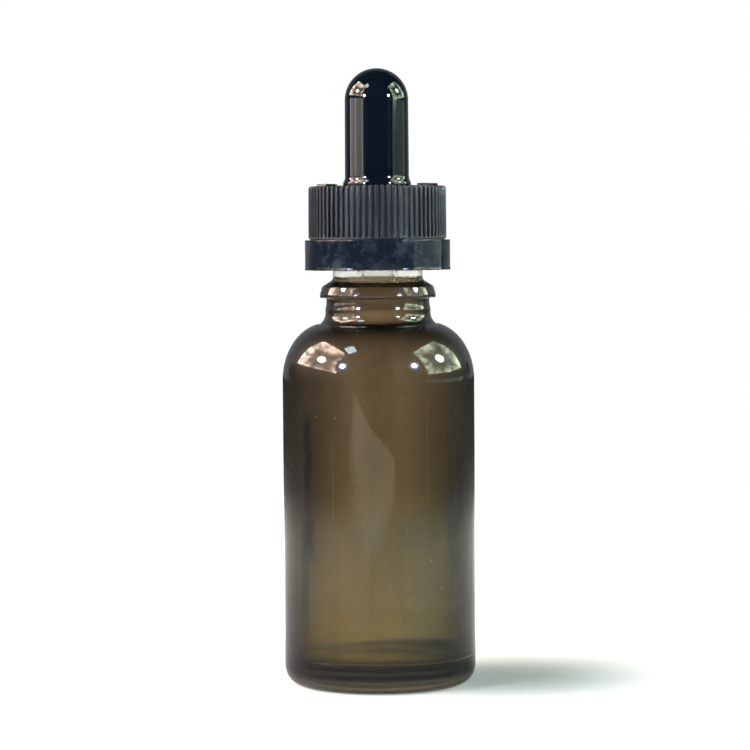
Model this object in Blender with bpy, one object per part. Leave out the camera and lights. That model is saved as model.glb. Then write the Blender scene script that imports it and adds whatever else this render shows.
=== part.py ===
"""A 30 ml glass ink bottle closed by a child-resistant dropper cap.

Metres, +Z up. The origin is the centre of the base, on the surface the bottle stands on, and every
piece turns or slides on the Z axis, so every object's origin lies on it.
"""

import math

import bmesh
import bpy

MM = 0.001

# Bottle, outside
BODY_TOP_RADIUS = 16.52 * MM
BODY_LOW_RADIUS = 16.40 * MM
PUSH_UP_HEIGHT = 0.9 * MM
FOOT_INNER_RADIUS = 11.4 * MM
FOOT_OUTER_RADIUS = 13.6 * MM
HEEL_HEIGHT = 3.0 * MM
SHOULDER_CENTRE_RADIUS = 8.77 * MM
SHOULDER_START = 52.5 * MM
SHOULDER_RISE = 9.8 * MM
NECK_START = 64.0 * MM
NECK_LOW_RADIUS = 9.05 * MM
NECK_HIGH_RADIUS = 8.87 * MM
NECK_FILLET = 2.4 * MM
TRANSFER_BEAD_RADIUS = 9.95 * MM
TRANSFER_BEAD_UNDERSIDE = 66.6 * MM
FINISH_RADIUS = 7.7 * MM
FINISH_START = 71.15 * MM
FINISH_FILLET = 2.6 * MM
LOCKING_BEAD_RADIUS = 8.75 * MM
LOCKING_BEAD_UNDERSIDE = 73.2 * MM
LIP_HEIGHT = 79.2 * MM

# Bottle, inside
BORE_RADIUS = 5.6 * MM
BORE_END = 64.4 * MM
CHAMBER_RADIUS = 14.6 * MM
CHAMBER_SHOULDER_RISE = 8.2 * MM
INNER_FLOOR = 3.4 * MM
INNER_CORNER = 3.0 * MM

# Thread
THREAD_PITCH = 2.5 * MM
THREAD_TOP = 77.9 * MM
BOTTLE_THREAD_TURNS = 1.1
BOTTLE_THREAD_RADIUS = 8.95 * MM
CAP_THREAD_TURNS = 0.76
CAP_THREAD_RADIUS = 8.25 * MM
THREAD_STEPS_PER_TURN = 48
THREAD_TAPER_STEPS = 3

# Dropper
BULB_RADIUS = 5.45 * MM
BULB_FOOT_RADIUS = 5.65 * MM
BULB_TOP = 105.9 * MM
BULB_WALL = 1.2 * MM
FLANGE_RADIUS = 8.7 * MM
FLANGE_UNDERSIDE = 79.5 * MM
FLANGE_THICKNESS = 1.7 * MM
GRIP_RADIUS = 3.8 * MM
PIPETTE_RADIUS = 3.5 * MM
PIPETTE_BORE = 2.5 * MM
PIPETTE_TOP = 86.2 * MM
PIPETTE_TAPER_START = 24.0 * MM
PIPETTE_TIP = 10.0 * MM

# Inner cap
CAP_HOLE_RADIUS = 5.95 * MM
INNER_CAP_PLATE_UNDERSIDE = 81.5 * MM
INNER_CAP_PLATE_TOP = 82.6 * MM
INNER_CAP_SKIRT_INNER = 9.25 * MM
INNER_CAP_SKIRT_OUTER = 10.0 * MM
INNER_CAP_SKIRT_END = 73.4 * MM
INNER_CAP_RIM_RADIUS = 10.5 * MM
INNER_CAP_RIM_UNDERSIDE = 78.4 * MM
DRIVE_TOOTH_COUNT = 8
DRIVE_TOOTH_HEIGHT = 0.7 * MM
DRIVE_TOOTH_INNER = 6.8 * MM
DRIVE_TOOTH_OUTER = 9.1 * MM
DRIVE_TOOTH_DEG = 12.0
BRIDGE_COUNT = 8
BRIDGE_LENGTH = 0.6 * MM
BRIDGE_DEG = 5.0

# Outer cap
OUTER_CAP_TOP = 85.7 * MM
OUTER_CAP_END = 76.8 * MM
OUTER_CAP_TOP_RADIUS = 11.75 * MM
OUTER_CAP_END_RADIUS = 11.88 * MM
OUTER_CAP_BORE = 10.85 * MM
OUTER_CAP_ROOF = 84.4 * MM
RETAINING_BEAD_RADIUS = 10.25 * MM
RIB_COUNT = 72
RIB_DEPTH = 0.35 * MM
RIB_CREST_SHARE = 0.5
RIB_FLANK_SHARE = 0.1
EDGE_ROUND = 0.45 * MM
ARROW_COUNT = 2
ARROW_FIRST_DEG = -30.0
ARROW_INNER = 7.9 * MM
ARROW_OUTER = 9.7 * MM
ARROW_HEIGHT = 0.45 * MM
ARROW_SHAFT_DEG = 24.0
ARROW_HEAD_DEG = 14.0
ARROW_HEAD_OVERHANG = 0.75 * MM

# Tamper ring
RING_RADIUS = 12.55 * MM
RING_WALL_INNER = 12.1 * MM
RING_TOP = 76.5 * MM
RING_END = 71.3 * MM
RING_WEB_UNDERSIDE = 71.6 * MM
RING_WEB_TOP = 72.5 * MM
RING_WEB_INNER = 9.3 * MM
PAWL_COUNT = 8
PAWL_DEG = 26.0
PAWL_TIP_RADIUS = 8.1 * MM
PAWL_TIP_HEIGHT = 72.9 * MM

BODY_SIDES = 48
CAP_SIDES = 48
BULB_SIDES = 32
PIPETTE_SIDES = 24
SHARP_ANGLE = math.radians(35)
BURIED = 0.3 * MM  # how far a feature reaches into the wall it is united with


def clear_scene():
    for old in list(bpy.data.objects):
        bpy.data.objects.remove(old)


def material(name, colour, roughness, transmission=0.0):
    made = bpy.data.materials.new(name)
    made.use_nodes = True
    shader = made.node_tree.nodes["Principled BSDF"]
    shader.inputs["Base Color"].default_value = (*colour, 1.0)
    shader.inputs["Roughness"].default_value = roughness
    shader.inputs["Metallic"].default_value = 0.0
    shader.inputs["Transmission Weight"].default_value = transmission
    return made


def at(radius, angle, height):
    return (radius * math.cos(angle), radius * math.sin(angle), height)


def arc(centre, radii, start_deg, end_deg, steps):
    """Points (radius, height) along an ellipse's arc, both ends included; 0 degrees points outwards, 90 up."""
    points = []
    for step in range(steps + 1):
        angle = math.radians(start_deg + (end_deg - start_deg) * step / steps)
        points.append((centre[0] + radii[0] * math.cos(angle), centre[1] + radii[1] * math.sin(angle)))
    return points


def finished(name, shape, look=None):
    """Turns a bmesh into a smooth-shaded object."""
    bmesh.ops.recalc_face_normals(shape, faces=shape.faces)
    mesh = bpy.data.meshes.new(name)
    shape.to_mesh(mesh)
    shape.free()
    mesh.shade_smooth()
    mesh.set_sharp_from_angle(angle=SHARP_ANGLE)
    made = bpy.data.objects.new(name, mesh)
    bpy.context.scene.collection.objects.link(made)
    if look:
        mesh.materials.append(look)
    return made


def spun(name, outline, sides, look=None):
    """Turns an outline of (radius, height) points round the Z axis; it is a loop unless its ends lie on the axis."""
    shape = bmesh.new()
    points = [shape.verts.new((radius, 0.0, height)) for radius, height in outline]
    edges = [shape.edges.new(pair) for pair in zip(points, points[1:])]
    if outline[0][0] > 0.0:
        edges.append(shape.edges.new((points[-1], points[0])))
    bmesh.ops.spin(shape, geom=points + edges, axis=(0, 0, 1), cent=(0, 0, 0),
                   angle=math.tau, steps=sides, use_merge=True)
    bmesh.ops.remove_doubles(shape, verts=shape.verts, dist=0.001 * MM)
    return finished(name, shape, look)


def add_loft(shape, rings):
    """Adds a closed solid through rings of equally many points, with a cap on each end."""
    loops = [[shape.verts.new(point) for point in ring] for ring in rings]
    for lower, upper in zip(loops, loops[1:]):
        for i in range(len(lower)):
            j = (i + 1) % len(lower)
            shape.faces.new((lower[i], lower[j], upper[j], upper[i]))
    shape.faces.new(loops[0])
    shape.faces.new(loops[-1])


def boolean(target, tool, operation):
    cut = target.modifiers.new(tool.name, "BOOLEAN")
    cut.operation = operation
    cut.solver = "EXACT"
    cut.object = tool
    tool.hide_render = True
    tool.display_type = "WIRE"


def thread_ridge(name, wall_radius, crest_radius, top, turns, foot_half, crest_half):
    """A right-hand helical ridge whose ends run out into the wall."""
    shape = bmesh.new()
    steps = round(THREAD_STEPS_PER_TURN * turns)
    outwards = 1.0 if crest_radius > wall_radius else -1.0
    root_radius = wall_radius - outwards * BURIED
    rings = []
    for step in range(steps + 1):
        angle = -math.tau * step / THREAD_STEPS_PER_TURN
        height = top + THREAD_PITCH * angle / math.tau
        share = min(1.0, step / THREAD_TAPER_STEPS, (steps - step) / THREAD_TAPER_STEPS)
        crest = root_radius + (crest_radius - root_radius) * (0.2 + 0.8 * share)
        rings.append([
            at(root_radius, angle, height - foot_half),
            at(crest, angle, height - crest_half),
            at(crest, angle, height + crest_half),
            at(root_radius, angle, height + foot_half),
        ])
    add_loft(shape, rings)
    return finished(name, shape)


def sector_blocks(name, count, width_deg, section, first_deg=0.0, steps=3):
    """Equal blocks round the axis: a section of (radius, height) points swept over width_deg."""
    shape = bmesh.new()
    for block in range(count):
        middle = math.radians(first_deg) + math.tau * block / count
        half = math.radians(width_deg) / 2
        rings = []
        for step in range(steps + 1):
            angle = middle - half + 2 * half * step / steps
            rings.append([at(radius, angle, height) for radius, height in section])
        add_loft(shape, rings)
    return finished(name, shape)


def bottle():
    outside = [(0.0, PUSH_UP_HEIGHT), (6.5 * MM, 0.8 * MM), (10.4 * MM, 0.4 * MM), (FOOT_INNER_RADIUS, 0.0)]
    heel_width = BODY_LOW_RADIUS - FOOT_OUTER_RADIUS
    outside += arc((FOOT_OUTER_RADIUS, HEEL_HEIGHT), (heel_width, HEEL_HEIGHT), -90, 0, 5)
    shoulder_width = BODY_TOP_RADIUS - SHOULDER_CENTRE_RADIUS
    outside += arc((SHOULDER_CENTRE_RADIUS, SHOULDER_START), (shoulder_width, SHOULDER_RISE), 0, 76, 8)
    outside += arc((NECK_LOW_RADIUS + NECK_FILLET, NECK_START), (NECK_FILLET, NECK_FILLET), 250, 180, 3)
    under = TRANSFER_BEAD_UNDERSIDE
    outside += [(NECK_HIGH_RADIUS, under - 0.2 * MM), (NECK_HIGH_RADIUS + 0.3 * MM, under)]
    outside += [(TRANSFER_BEAD_RADIUS - 0.2 * MM, under), (TRANSFER_BEAD_RADIUS, under + 0.3 * MM)]
    outside += [(TRANSFER_BEAD_RADIUS - 0.4 * MM, under + 1.6 * MM)]
    outside += arc((FINISH_RADIUS + FINISH_FILLET, FINISH_START), (FINISH_FILLET, FINISH_FILLET), 248, 180, 4)
    lock = LOCKING_BEAD_UNDERSIDE
    outside += [(FINISH_RADIUS, lock - 0.1 * MM), (LOCKING_BEAD_RADIUS - 0.15 * MM, lock)]
    outside += [(LOCKING_BEAD_RADIUS, lock + 0.3 * MM), (FINISH_RADIUS, lock + 0.9 * MM)]
    lip = [(FINISH_RADIUS, LIP_HEIGHT - 0.5 * MM), (FINISH_RADIUS - 0.5 * MM, LIP_HEIGHT)]
    lip += [(BORE_RADIUS + 0.4 * MM, LIP_HEIGHT), (BORE_RADIUS, LIP_HEIGHT - 0.5 * MM)]
    inside = arc((9.1 * MM, BORE_END), (9.1 * MM - BORE_RADIUS, 3.5 * MM), 180, 246, 3)
    chamber_width = CHAMBER_RADIUS - SHOULDER_CENTRE_RADIUS
    inside += arc((SHOULDER_CENTRE_RADIUS, SHOULDER_START), (chamber_width, CHAMBER_SHOULDER_RISE), 84, 0, 6)
    corner_centre = (CHAMBER_RADIUS - INNER_CORNER, INNER_FLOOR + INNER_CORNER)
    inside += arc(corner_centre, (INNER_CORNER, INNER_CORNER), 0, -90, 4)
    inside += [(0.0, INNER_FLOOR + 0.4 * MM)]
    glass = material("bottle_glass", (0.20, 0.17, 0.11), 0.06, 0.9)
    body = spun("bottle", outside + lip + inside, BODY_SIDES, glass)
    ridge = thread_ridge("bottle_thread", FINISH_RADIUS, BOTTLE_THREAD_RADIUS, THREAD_TOP,
                         BOTTLE_THREAD_TURNS, 0.62 * MM, 0.3 * MM)
    boolean(body, ridge, "UNION")
    return body


def pipette():
    bead = 0.45 * MM
    outline = [
        (PIPETTE_BORE, PIPETTE_TOP),
        (PIPETTE_RADIUS, PIPETTE_TOP),
        (PIPETTE_RADIUS + bead, PIPETTE_TOP - 0.6 * MM),
        (PIPETTE_RADIUS + bead, PIPETTE_TOP - 1.0 * MM),
        (PIPETTE_RADIUS, PIPETTE_TOP - 1.5 * MM),
        (PIPETTE_RADIUS, PIPETTE_TAPER_START),
        (3.25 * MM, PIPETTE_TAPER_START - 2.6 * MM),
        (1.7 * MM, PIPETTE_TIP + 4.0 * MM),
        (1.3 * MM, PIPETTE_TIP + 0.4 * MM),
        (1.1 * MM, PIPETTE_TIP),
        (0.6 * MM, PIPETTE_TIP),
        (0.7 * MM, PIPETTE_TIP + 3.6 * MM),
        (2.25 * MM, PIPETTE_TAPER_START - 2.2 * MM),
        (PIPETTE_BORE, PIPETTE_TAPER_START),
    ]
    return spun("pipette", outline, PIPETTE_SIDES, material("pipette_glass", (0.85, 0.9, 0.88), 0.03, 1.0))


def rubber_bulb():
    dome_centre = BULB_TOP - BULB_RADIUS
    outline = arc((0.0, dome_centre), (BULB_RADIUS, BULB_RADIUS), 90, 0, 7)
    outline[0] = (0.0, BULB_TOP)
    flange_top = FLANGE_UNDERSIDE + FLANGE_THICKNESS
    outline += [(BULB_RADIUS + 0.08 * MM, 87.2 * MM), (BULB_FOOT_RADIUS, 86.0 * MM)]
    outline += [(BULB_FOOT_RADIUS, flange_top + 0.2 * MM), (BULB_FOOT_RADIUS + 0.2 * MM, flange_top)]
    outline += [(FLANGE_RADIUS - 0.2 * MM, flange_top), (FLANGE_RADIUS, flange_top - 0.2 * MM)]
    outline += [(FLANGE_RADIUS, FLANGE_UNDERSIDE + 0.2 * MM), (FLANGE_RADIUS - 0.2 * MM, FLANGE_UNDERSIDE)]
    outline += [(GRIP_RADIUS, FLANGE_UNDERSIDE), (GRIP_RADIUS, PIPETTE_TOP - 2.0 * MM)]
    cavity = BULB_RADIUS - BULB_WALL
    outline += [(cavity, PIPETTE_TOP - 1.5 * MM)]
    outline += arc((0.0, dome_centre), (cavity, cavity), 0, 90, 5)
    outline[-1] = (0.0, dome_centre + cavity)
    return spun("rubber_bulb", outline, BULB_SIDES, material("bulb_rubber", (0.012, 0.012, 0.013), 0.12))


def inner_cap():
    rim = INNER_CAP_RIM_UNDERSIDE
    outline = [
        (CAP_HOLE_RADIUS, INNER_CAP_PLATE_UNDERSIDE),
        (CAP_HOLE_RADIUS, INNER_CAP_PLATE_TOP),
        (INNER_CAP_SKIRT_OUTER - 0.3 * MM, INNER_CAP_PLATE_TOP),
        (INNER_CAP_SKIRT_OUTER, INNER_CAP_PLATE_TOP - 0.3 * MM),
        (INNER_CAP_SKIRT_OUTER, rim + 1.3 * MM),
        (INNER_CAP_RIM_RADIUS, rim + 0.7 * MM),
        (INNER_CAP_RIM_RADIUS, rim),
        (INNER_CAP_SKIRT_OUTER, rim),
        (INNER_CAP_SKIRT_OUTER, INNER_CAP_SKIRT_END),
        (INNER_CAP_SKIRT_INNER, INNER_CAP_SKIRT_END),
        (INNER_CAP_SKIRT_INNER, INNER_CAP_PLATE_UNDERSIDE),
    ]
    cap = spun("inner_cap", outline, CAP_SIDES, material("inner_cap_plastic", (0.02, 0.02, 0.02), 0.4))
    ridge = thread_ridge("cap_thread", INNER_CAP_SKIRT_INNER, CAP_THREAD_RADIUS,
                         THREAD_TOP - THREAD_PITCH / 2, CAP_THREAD_TURNS, 0.4 * MM, 0.2 * MM)
    boolean(cap, ridge, "UNION")
    tooth_foot = INNER_CAP_PLATE_TOP - BURIED
    tooth_top = INNER_CAP_PLATE_TOP + DRIVE_TOOTH_HEIGHT
    section = [(DRIVE_TOOTH_INNER, tooth_foot), (DRIVE_TOOTH_OUTER, tooth_foot),
               (DRIVE_TOOTH_OUTER, tooth_top), (DRIVE_TOOTH_INNER, tooth_top)]
    boolean(cap, sector_blocks("drive_teeth", DRIVE_TOOTH_COUNT, DRIVE_TOOTH_DEG, section), "UNION")
    bridge_inner = INNER_CAP_SKIRT_INNER + 0.15 * MM
    bridge_outer = INNER_CAP_SKIRT_OUTER - 0.15 * MM
    bridge_end = INNER_CAP_SKIRT_END - BRIDGE_LENGTH
    section = [(bridge_inner + 0.1 * MM, bridge_end), (bridge_outer - 0.1 * MM, bridge_end),
               (bridge_outer, INNER_CAP_SKIRT_END + BURIED), (bridge_inner, INNER_CAP_SKIRT_END + BURIED)]
    boolean(cap, sector_blocks("bridges", BRIDGE_COUNT, BRIDGE_DEG, section, steps=1), "UNION")
    return cap


def ribbed_ring(radius, depth, height):
    """One closed ring of points round a ribbed wall: four for each rib, two on its crest and two in its groove."""
    groove_start = RIB_CREST_SHARE + RIB_FLANK_SHARE
    stops = [(0.0, 0.0), (RIB_CREST_SHARE, 0.0), (groove_start, depth), (1.0 - RIB_FLANK_SHARE, depth)]
    points = []
    for rib in range(RIB_COUNT):
        for share, cut in stops:
            points.append(at(radius - cut, math.tau * (rib + share) / RIB_COUNT, height))
    return points


def arrow_outlines():
    """Flat outlines of the raised arrows, which point the way the cap is opened: a curved shaft and its head."""
    outlines = []
    for arrow in range(ARROW_COUNT):
        start = math.tau * arrow / ARROW_COUNT + math.radians(ARROW_FIRST_DEG)
        shaft_end = start + math.radians(ARROW_SHAFT_DEG)
        tip = shaft_end + math.radians(ARROW_HEAD_DEG)
        steps = 8
        angles = [start + (shaft_end - start) * step / steps for step in range(steps + 1)]
        points = [(ARROW_OUTER, angle) for angle in angles]
        points.append((ARROW_OUTER + ARROW_HEAD_OVERHANG, shaft_end))
        points.append(((ARROW_INNER + ARROW_OUTER) / 2, tip))
        points.append((ARROW_INNER - ARROW_HEAD_OVERHANG, shaft_end))
        points += [(ARROW_INNER, angle) for angle in reversed(angles)]
        outlines.append(points)
    return outlines


def outer_cap():
    shape = bmesh.new()
    rounding = EDGE_ROUND
    add_loft(shape, [
        ribbed_ring(OUTER_CAP_END_RADIUS - rounding, 0.0, OUTER_CAP_END),
        ribbed_ring(OUTER_CAP_END_RADIUS, RIB_DEPTH, OUTER_CAP_END + rounding),
        ribbed_ring(OUTER_CAP_TOP_RADIUS, RIB_DEPTH, OUTER_CAP_TOP - rounding),
        ribbed_ring(OUTER_CAP_TOP_RADIUS - rounding, 0.0, OUTER_CAP_TOP),
    ])
    cap = finished("outer_cap", shape, material("outer_cap_plastic", (0.025, 0.025, 0.027), 0.35))
    below = OUTER_CAP_END - 1.0 * MM
    bead = OUTER_CAP_END + 0.6 * MM
    above = OUTER_CAP_TOP + 1.0 * MM
    hollow = [(0.0, below), (OUTER_CAP_BORE, below), (OUTER_CAP_BORE, bead - 0.4 * MM)]
    hollow += [(RETAINING_BEAD_RADIUS, bead), (RETAINING_BEAD_RADIUS, bead + 0.4 * MM)]
    hollow += [(OUTER_CAP_BORE, bead + 0.8 * MM), (OUTER_CAP_BORE, OUTER_CAP_ROOF)]
    hollow += [(CAP_HOLE_RADIUS, OUTER_CAP_ROOF), (CAP_HOLE_RADIUS, above), (0.0, above)]
    boolean(cap, spun("outer_cap_hollow", hollow, CAP_SIDES), "DIFFERENCE")
    lug_end = OUTER_CAP_ROOF - DRIVE_TOOTH_HEIGHT - 0.05 * MM
    section = [(DRIVE_TOOTH_INNER, lug_end), (DRIVE_TOOTH_OUTER, lug_end),
               (DRIVE_TOOTH_OUTER, OUTER_CAP_ROOF + BURIED), (DRIVE_TOOTH_INNER, OUTER_CAP_ROOF + BURIED)]
    between_teeth = 180.0 / DRIVE_TOOTH_COUNT
    lugs = sector_blocks("drive_lugs", DRIVE_TOOTH_COUNT, DRIVE_TOOTH_DEG, section, between_teeth)
    boolean(cap, lugs, "UNION")
    shape = bmesh.new()
    for outline in arrow_outlines():
        low, high = OUTER_CAP_TOP - BURIED, OUTER_CAP_TOP + ARROW_HEIGHT
        add_loft(shape, [[at(radius, angle, height) for radius, angle in outline] for height in (low, high)])
    boolean(cap, finished("arrows", shape), "UNION")
    return cap


def tamper_ring():
    outline = [
        (RING_WALL_INNER, RING_WEB_TOP),
        (RING_WALL_INNER, RING_TOP),
        (RING_RADIUS - 0.15 * MM, RING_TOP),
        (RING_RADIUS, RING_TOP - 0.3 * MM),
        (RING_RADIUS, RING_END + 0.3 * MM),
        (RING_RADIUS - 0.3 * MM, RING_END),
        (RING_RADIUS - 0.9 * MM, RING_END),
        (RING_RADIUS - 1.1 * MM, RING_WEB_UNDERSIDE),
        (RING_WEB_INNER, RING_WEB_UNDERSIDE),
        (RING_WEB_INNER, RING_WEB_TOP),
    ]
    ring = spun("tamper_ring", outline, CAP_SIDES, material("tamper_ring_plastic", (0.01, 0.01, 0.015), 0.15))
    root_radius = RING_WEB_INNER + BURIED
    section = [(root_radius, RING_WEB_UNDERSIDE + 0.15 * MM), (root_radius, RING_WEB_TOP - 0.15 * MM),
               (PAWL_TIP_RADIUS, PAWL_TIP_HEIGHT), (PAWL_TIP_RADIUS, PAWL_TIP_HEIGHT - 0.3 * MM)]
    boolean(ring, sector_blocks("pawls", PAWL_COUNT, PAWL_DEG, section), "UNION")
    return ring


clear_scene()
bottle()
pipette()
rubber_bulb()
inner_cap()
outer_cap()
tamper_ring()
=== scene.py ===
"""The looks of the ink bottle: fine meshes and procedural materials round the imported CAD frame.

Named sizes and outlines are in millimetres; an outline is a list of (radius, height) points or
(radius, height, rounding) corners round the Z axis. Finished meshes, light panels and distances in
materials are in metres, in the frame's own axes.
"""
import math

import bmesh
import bpy
from mathutils import Matrix, Vector, noise


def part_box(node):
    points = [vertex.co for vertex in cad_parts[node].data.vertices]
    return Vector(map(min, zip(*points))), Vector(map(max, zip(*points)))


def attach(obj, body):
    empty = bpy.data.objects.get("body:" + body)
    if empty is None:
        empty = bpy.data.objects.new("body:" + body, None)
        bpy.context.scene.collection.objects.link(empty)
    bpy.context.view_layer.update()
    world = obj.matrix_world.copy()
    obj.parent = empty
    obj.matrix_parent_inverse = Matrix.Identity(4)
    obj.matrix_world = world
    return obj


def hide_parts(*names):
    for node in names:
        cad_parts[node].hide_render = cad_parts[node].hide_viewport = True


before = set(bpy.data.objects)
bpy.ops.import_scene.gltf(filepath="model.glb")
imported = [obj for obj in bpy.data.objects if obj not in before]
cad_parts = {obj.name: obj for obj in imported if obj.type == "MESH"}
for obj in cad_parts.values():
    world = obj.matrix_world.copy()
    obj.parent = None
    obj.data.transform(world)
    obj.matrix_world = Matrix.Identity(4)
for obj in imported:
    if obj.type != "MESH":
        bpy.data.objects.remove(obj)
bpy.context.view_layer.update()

MM = 0.001
SHARP_DEG = 40.0

# Camera: a long lens level with the cap's foot, looking slightly down
CAMERA_DISTANCE = 480.6
CAMERA_HEIGHT = 77.3
CAMERA_PITCH_DEG = 2.87
CAMERA_YAW_DEG = 0.07
CAMERA_ROLL_DEG = 0.42
CAMERA_LENS = 133.9
SENSOR_WIDTH = 36.0

# Bottle, outside
BODY_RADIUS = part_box("bottle")[1].x / MM
LIP_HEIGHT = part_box("bottle")[1].z / MM
BODY_LOW_RADIUS = BODY_RADIUS - 0.12
HEEL_HEIGHT = 3.0
FOOT_RADIUS = 13.6
MOULD_LINE = HEEL_HEIGHT - 0.35
SHOULDER_START = 52.5
SHOULDER_RISE = 9.8
SHOULDER_CENTRE = 8.77
NECK_START = 64.0
NECK_RADIUS = 9.05
NECK_FILLET = 2.4
BEAD_RADIUS = 10.0
BEAD_UNDERSIDE = 66.58
COAT_END = 69.3
FINISH_RADIUS = 7.7
FINISH_START = 70.25
FINISH_FILLET = 1.0
LOCKING_BEAD_RADIUS = 8.75
LOCKING_BEAD_UNDERSIDE = 73.2
SEAM_HEIGHT = 0.035

# Bottle, inside
BORE_RADIUS = 5.6
BORE_END = 64.4
BORE_FILLET = 3.5
CHAMBER_RADIUS = 14.6
CHAMBER_RISE = 8.2
INNER_FLOOR = 3.4
INNER_CORNER = 3.0
BASE_GLASS = 5.1  # below this height the base's thick glass shows, darker and bluer

# Thread
THREAD_PITCH = 2.5
THREAD_TOP = 77.9
THREAD_ROWS_START = 74.6
THREAD_ROWS_END = 78.8

# Upright runs in the film, and two pale lines that are painted highlights: angle from the front, half width
# (degrees), lowest, highest, fade (mm), tint
RUNS_AND_PAINTED_HIGHLIGHTS = (
    (-46.5, 5.5, 21.5, 49.0, 4.5, (0.03, 0.05, 0.34)),
    (-47.0, 9.0, 20.5, 32.0, 4.0, (0.12, 0.16, 0.34)),
    (-50.0, 5.5, 8.0, 27.0, 4.0, (0.28, 0.48, 0.95)),
    (57.0, 6.5, 25.0, 43.0, 5.0, (0.1, 0.15, 0.32)),
    (72.0, 36.0, 3.0, 42.0, 8.0, (0.3, 0.4, 0.45)),
    (45.0, 45.0, -4.0, 36.0, 9.0, (0.48, 0.72, 0.92)),
    (5.0, 30.0, 16.0, 33.0, 6.0, (0.76, 0.86, 0.97)),
    (-70.0, 25.0, -4.0, 20.0, 6.0, (0.5, 0.54, 0.56)),
    # Painted highlights: two thin pale lines, one either side of the middle
    (-28.0, 0.7, 28.0, 45.0, 3.0, (1.7, 1.65, 1.6)),
    (29.4, 0.7, 31.0, 52.0, 3.0, (1.5, 1.45, 1.4)),
)

# Pipette
PIPETTE_RADIUS = 3.5
PIPETTE_BORE = 2.5
PIPETTE_BEAD = 0.45
PIPETTE_TOP = 86.2
PIPETTE_TAPER_START = 24.0
PIPETTE_TIP = 10.0

# Rubber bulb
BULB_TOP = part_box("rubber_bulb")[1].z / MM
BULB_RADIUS = 5.45
BULB_CAVITY = 4.25
BULB_FOOT_RADIUS = 5.5
BULB_FLARE = 2.0
BULB_FLARE_START = 87.45
BULB_STEM_RADIUS = 5.65
FLANGE_RADIUS = 8.7
FLANGE_TOP = 81.2
FLANGE_UNDERSIDE = 79.5
GRIP_RADIUS = 3.8

# Inner cap
HOLE_RADIUS = 5.95
PLATE_TOP = 82.6
PLATE_UNDERSIDE = 81.5
SKIRT_RADIUS = 10.0
SKIRT_BORE = 9.25
SKIRT_END = 73.4
RIM_RADIUS = 10.5
RIM_UNDERSIDE = 78.4
CAP_THREAD_START = 74.2
CAP_THREAD_END = 77.6
TOOTH_COUNT = 8
TOOTH_INNER = 6.8
TOOTH_OUTER = 9.1
TOOTH_DEG = 12.0

# Outer cap
CAP_TOP = 85.7
CAP_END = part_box("outer_cap")[0].z / MM
CAP_FOOT = CAP_END - 0.4
CAP_RADIUS = 11.82
CAP_BORE = 10.85
CAP_ROOF = 84.4
CAP_EDGE = 0.4
CAP_RECESS = 0.35
RETAINING_BEAD_RADIUS = 10.25
LEDGE = CAP_END - 0.05
LEDGE_FADE = 0.46
RIB_COUNT = 72
RIB_DEPTH = 0.42
RIB_CREST = 0.84
RIB_POINTS = 20
RIB_SHARE = 0.62
RIB_FLANK_DEPTH = 0.72

# Tamper ring
RING_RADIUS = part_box("tamper_ring")[1].x / MM
RING_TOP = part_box("tamper_ring")[1].z / MM
RING_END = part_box("tamper_ring")[0].z / MM
RING_WALL = RING_RADIUS - 0.06
RING_BORE = 12.1
RING_WEB_INNER = 9.3
RING_WEB_TOP = 72.5
RING_WEB_UNDERSIDE = 71.6


# ---------------------------------------------------------------- mesh helpers

def polar(radius, angle, height):
    return Vector((radius * math.cos(angle), radius * math.sin(angle), height)) * MM


def arc(centre, radii, start_deg, end_deg, steps):
    """Points (radius, height) along an ellipse's arc; 0 degrees points outwards, 90 up."""
    points = []
    for step in range(steps + 1):
        angle = math.radians(start_deg + (end_deg - start_deg) * step / steps)
        points.append((centre[0] + radii[0] * math.cos(angle), centre[1] + radii[1] * math.sin(angle)))
    return points


def rounded(corners, steps=4, loop=False):
    """An outline whose corners (radius, height, rounding) are rounded by tangent arcs."""
    points = []
    count = len(corners)
    for i, corner in enumerate(corners):
        here = Vector(corner[:2])
        size = corner[2] if len(corner) > 2 else 0.0
        if size == 0.0 or (not loop and i in (0, count - 1)):
            points.append(tuple(here))
            continue
        before = Vector(corners[i - 1][:2]) - here
        after = Vector(corners[(i + 1) % count][:2]) - here
        start = here + before.normalized() * size
        end = here + after.normalized() * size
        for step in range(steps + 1):
            t = step / steps
            points.append(tuple(start * (1 - t) ** 2 + here * 2 * t * (1 - t) + end * t ** 2))
    return points


def smooth_step(low, high, value):
    t = max(0.0, min(1.0, (value - low) / (high - low)))
    return t * t * (3 - 2 * t)


def linked(name, shape, looks):
    """Turns a bmesh into an object of the scene with its materials."""
    mesh = bpy.data.meshes.new(name)
    shape.to_mesh(mesh)
    shape.free()
    for look in looks:
        mesh.materials.append(look)
    made = bpy.data.objects.new(name, mesh)
    bpy.context.scene.collection.objects.link(made)
    return made


def finished(name, shape, looks, sharp_deg=SHARP_DEG):
    """Turns a bmesh into an object that is shaded smooth, apart from its sharp edges."""
    bmesh.ops.recalc_face_normals(shape, faces=shape.faces)
    made = linked(name, shape, looks)
    made.data.shade_smooth()
    made.data.set_sharp_from_angle(angle=math.radians(sharp_deg))
    return made


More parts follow.
